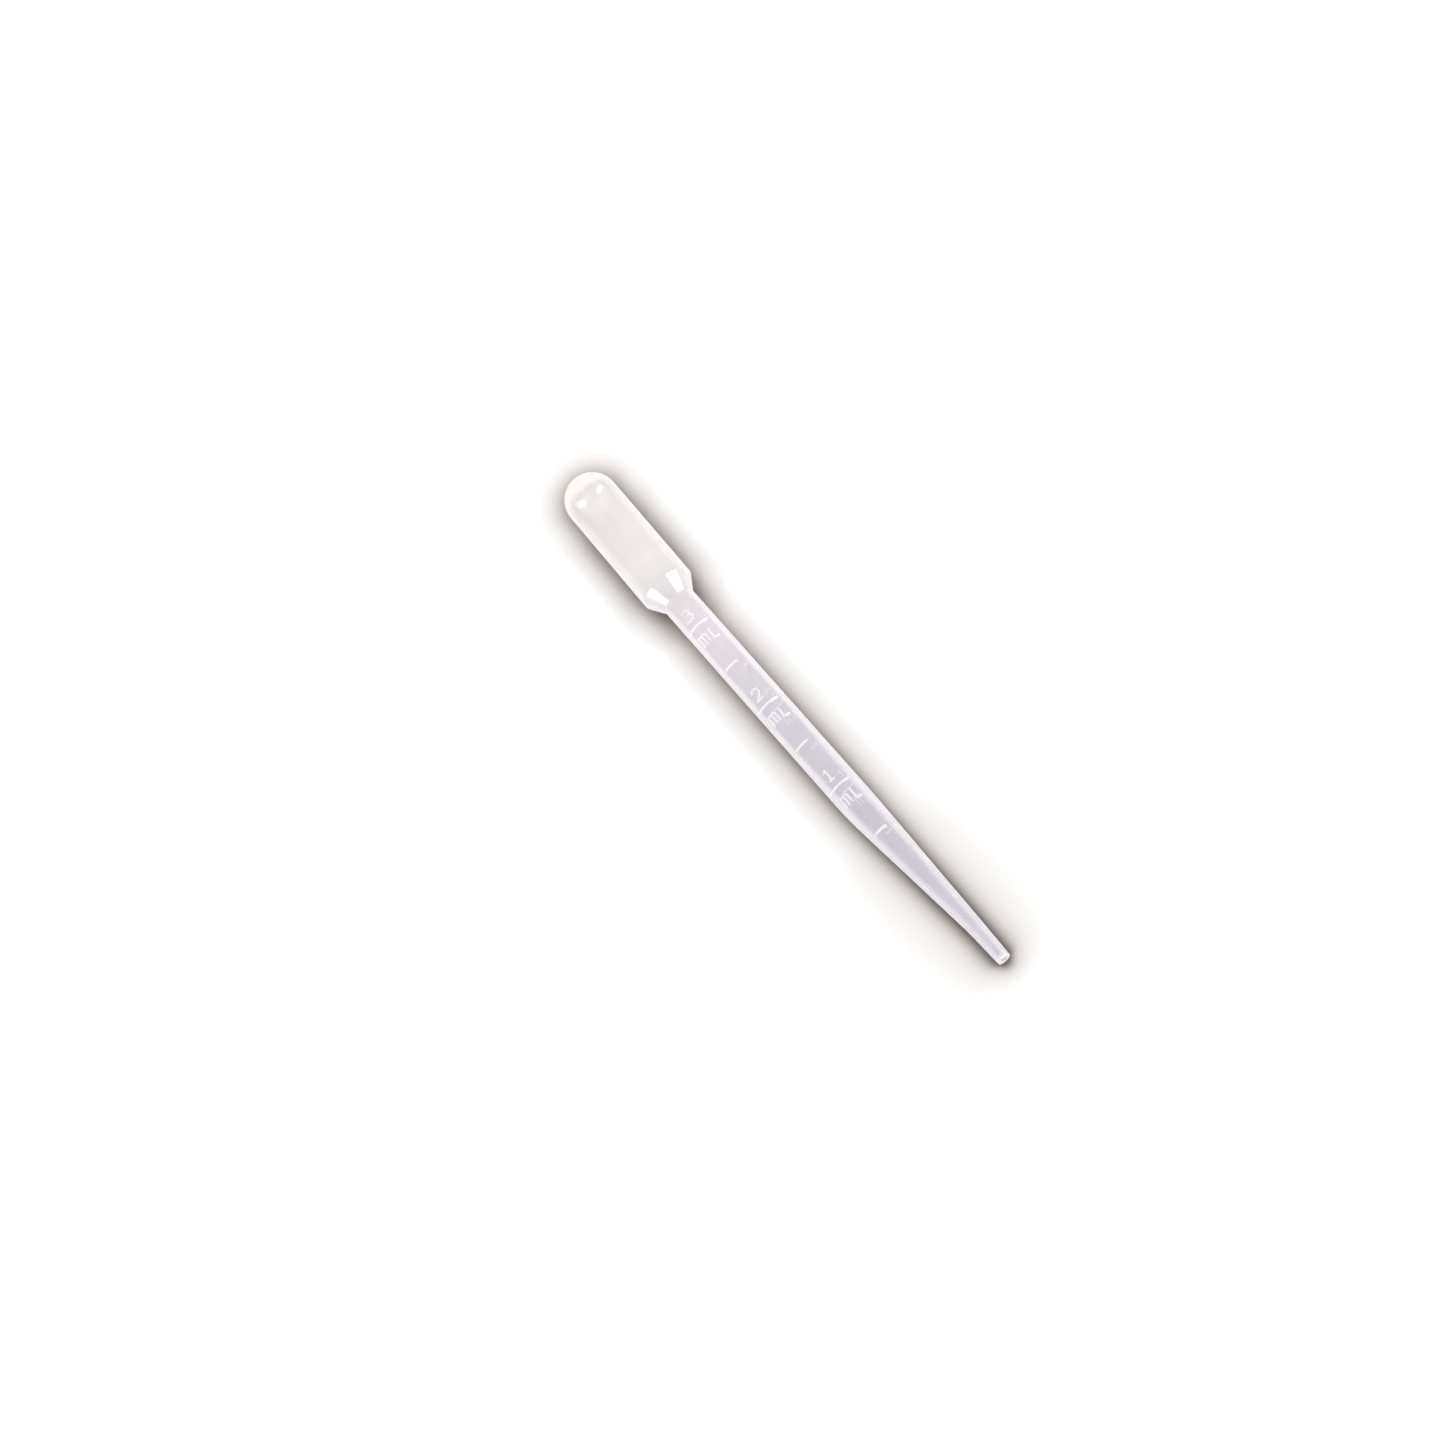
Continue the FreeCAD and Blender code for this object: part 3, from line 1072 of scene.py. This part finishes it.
@dataclass
class Studio:
    """The table, the lamps and the light of the room. Lengths are in metres, angles in degrees.

    The piece's shade reaches shade_reach off it, and from tip_shade_from on more and more. The
    dome's lies round a line that begins dome_inset in from the dome's end and dome_aside off the
    axis, and is dome_run long. It fades from dome_radius on and is drawn out by dome_stretch.

    Attributes:
        back_light: How much stronger the room's light is from back_from, an azimuth and elevation.
        shade: The table's colour by the share of open room above it.
        tip_shade_spread: How evenly the shade falls off at the tip; 1 is as elsewhere.
        seen_light: The share of the lamps' light in the table as it is seen.
        seen_glow: The share of even white in it.
        white_from: Between which distances the table turns plain white.
    """

    room_light: float = 0.49
    back_light: float = 0.33
    back_from: Pair = (270.0, 35.0)
    boxes: tuple[SoftBox, ...] = (
        SoftBox("softbox_left", 23.0, 10.0, 1.2, (0.35, 1.15), 4.9, -26.0),
        SoftBox("softbox_right", 143.0, 25.0, 1.2, (0.5, 1.1), 6.7, 38.0),
        SoftBox("softbox_over", 60.0, 85.5, 1.2, (0.6, 1.3), 9.8, mirrored=False),
    )
    table_size: float = 4.0
    table_tone: float = 0.9
    shade_reach: float = 0.009
    shade_samples: int = 32
    shade: Stops = (
        (0.45, (0.18, 0.165, 0.16)), (0.595, (0.394, 0.356, 0.342)),
        (0.657, (0.524, 0.480, 0.463)), (0.754, (0.700, 0.673, 0.656)),
        (0.91, (0.888, 0.871, 0.862)), (0.975, (0.96, 0.954, 0.95)), (1.0, 1.0),
    )
    tip_shade_from: float = 0.034
    tip_shade_reach: float = 0.030
    tip_shade_spread: float = 0.56
    dome_inset: float = 0.0035
    dome_aside: float = 0.0004
    dome_run: float = 0.0055
    dome_stretch: float = 1.165
    dome_radius: float = 0.0069
    dome_reach: float = 0.0075
    dome_shade: Stops = (
        (0.0, (0.39, 0.355, 0.34)), (0.06, (0.475, 0.44, 0.42)), (0.15, (0.575, 0.535, 0.515)),
        (0.27, (0.685, 0.645, 0.625)), (0.39, (0.775, 0.74, 0.72)), (0.49, (0.84, 0.805, 0.79)),
        (0.62, (0.89, 0.87, 0.855)), (0.78, (0.945, 0.935, 0.925)), (1.0, 1.0),
    )
    seen_light: float = 0.3
    seen_glow: float = 0.66
    white_from: Pair = (0.16, 0.35)

    def light(self) -> None:
        """Lights the room and hangs the lamps."""
        world = bpy.data.worlds.new("room")
        bpy.context.scene.world = world
        graph = Graph.of(world)
        way = graph.add("ShaderNodeTexCoord").outputs["Generated"]
        behind = graph.vector("DOT_PRODUCT", {0: way, 1: direction(*self.back_from)})["Value"]
        most = self.room_light + self.back_light
        strength = graph.remap(behind, 0.0, 1.0, self.room_light, most, soft=True)
        sky = graph.add("ShaderNodeBackground", {"Color": WHITE, "Strength": strength})
        backdrop = graph.add("ShaderNodeBackground", {"Color": WHITE, "Strength": 1.0})
        seen = graph.add("ShaderNodeLightPath").outputs["Is Camera Ray"]
        shown = graph.blend(seen, sky.outputs[0], backdrop.outputs[0])
        graph.add("ShaderNodeOutputWorld", {"Surface": shown})
        for box in self.boxes:
            box.hang()

    def shade_along(self, graph: Graph, spot: Socket, tip: float) -> Socket:
        """Adds the nodes for the table's shade under the piece, which spreads towards the tip.

        Args:
            graph: The nodes that they join.
            spot: The place on the table.
            tip: Where the tip ends, along the frame's length.

        Returns:
            The table's colour at each place.
        """
        along = graph.add("ShaderNodeSeparateXYZ", {0: spot}).outputs["X"]
        start = self.tip_shade_from
        reach = graph.remap(along, start, tip, self.shade_reach, self.tip_shade_reach)
        spread = graph.remap(along, start, tip, 1.0, self.tip_shade_spread)
        clear = graph.add(
            "ShaderNodeAmbientOcclusion", {"Distance": reach}, samples=self.shade_samples
        ).outputs["AO"]
        covered = graph.math("SUBTRACT", 1.0, clear)
        covered = graph.math("POWER", covered, spread)
        clear = graph.math("SUBTRACT", 1.0, covered)
        return graph.ramp(clear, self.shade)

    def shade_round_dome(self, graph: Graph, spot: Socket, dome: float) -> Socket:
        """Adds the nodes for the shade round the dome, which stands higher off the table.

        Args:
            graph: The nodes that they join.
            spot: The place on the table.
            dome: Where the dome ends, along the frame's length.

        Returns:
            The table's colour at each place.
        """
        middle = Vector((dome + self.dome_inset, self.dome_aside, 0))
        off = graph.vector("SUBTRACT", {0: spot, 1: middle})[0]
        axes = graph.add("ShaderNodeSeparateXYZ", {0: off}).outputs
        beside = graph.add(
            "ShaderNodeClamp", {"Value": axes["X"], "Min": 0.0, "Max": self.dome_run}
        ).outputs[0]
        beyond = graph.math("SUBTRACT", axes["X"], beside)
        beyond = graph.math("DIVIDE", beyond, self.dome_stretch)
        flat = graph.add("ShaderNodeCombineXYZ", {"X": beyond, "Y": axes["Y"]}).outputs[0]
        away = graph.vector("LENGTH", {0: flat})["Value"]
        faded = graph.remap(away, self.dome_radius, self.dome_radius + self.dome_reach)
        return graph.ramp(faded, self.dome_shade)

    def table_finish(self) -> bpy.types.Material:
        """Returns the table's material: evenly white to the eye, with the piece's shade on it."""
        low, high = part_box(NODE)
        made = bpy.data.materials.new("white_table")
        graph = Graph.of(made)
        spot = graph.add("ShaderNodeTexCoord").outputs["Object"]
        along = self.shade_along(graph, spot, high.x)
        dome = self.shade_round_dome(graph, spot, low.x)
        shade = graph.vector("MINIMUM", {0: along, 1: dome})[0]
        dim = graph.vector("SCALE", {0: shade, "Scale": self.seen_light})[0]
        off = graph.vector("LENGTH", {0: spot})["Value"]
        strength = graph.remap(off, *self.white_from, self.seen_glow, 1.0)
        seen = graph.add("ShaderNodeBsdfDiffuse", {"Color": dim})
        glow = graph.add("ShaderNodeEmission", {"Color": shade, "Strength": strength})
        both = graph.add("ShaderNodeAddShader", {0: seen.outputs[0], 1: glow.outputs[0]})
        lit = graph.add("ShaderNodeBsdfDiffuse", {"Color": (*(self.table_tone,) * 3, 1.0)})
        path = graph.add("ShaderNodeLightPath").outputs
        by_eye = graph.math("MAXIMUM", path["Is Camera Ray"], path["Is Transmission Ray"])
        shown = graph.blend(by_eye, lit.outputs[0], both.outputs[0])
        graph.add("ShaderNodeOutputMaterial", {"Surface": shown})
        return made

    def table(self) -> bpy.types.Object:
        """Returns the plain white table."""
        half = self.table_size / 2
        corners = [(-half, -half, 0), (half, -half, 0), (half, half, 0), (-half, half, 0)]
        mesh = bpy.data.meshes.new("table")
        mesh.from_pydata(corners, [], [(0, 1, 2, 3)])
        mesh.materials.append(self.table_finish())
        top = put("table", mesh)
        return top


@dataclass
class Camera:
    """The camera, by what it looks at and from where. Lengths are in metres, angles in degrees."""

    target: tuple[float, float, float] = (-0.00786, -0.01096, 0.005)
    azimuth: float = 86.97
    elevation: float = 62.79
    distance: float = 0.7496
    roll: float = -37.8
    sensor: float = 36.0
    lens: float = 84.0
    clip: Pair = (0.01, 20.0)

    def place(self) -> bpy.types.Object:
        """Sets up the scene's camera and returns it."""
        data = bpy.data.cameras.new("camera")
        data.sensor_width = self.sensor
        data.lens = self.lens
        data.clip_start, data.clip_end = self.clip
        camera = put("camera", data)
        away = direction(self.azimuth, self.elevation)
        right = Vector((0, 0, 1)).cross(away).normalized()
        up = away.cross(right)
        roll = math.radians(self.roll)
        rolled_right = right * math.cos(roll) + up * math.sin(roll)
        rolled_up = up * math.cos(roll) - right * math.sin(roll)
        turned = Matrix((rolled_right, rolled_up, away)).transposed()
        stand = Vector(self.target) + away * self.distance
        camera.matrix_world = Matrix.Translation(stand) @ turned.to_4x4()
        bpy.context.scene.camera = camera
        return camera


def main() -> None:
    """Builds the scene."""
    logging.basicConfig(level=logging.INFO, format="%(name)s: %(message)s")
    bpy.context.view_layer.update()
    bpy.context.scene.view_settings.view_transform = "Standard"
    Camera().place()
    studio = Studio()
    studio.light()
    log.info("made %s", studio.table().name)
    moulding = Moulding()
    piece = Pipette(moulding, RaisedScale(moulding), MilkyPolyethylene()).build()
    log.info("made %s, %d faces", piece.name, len(piece.data.polygons))


if __name__ == "__main__":
    main()
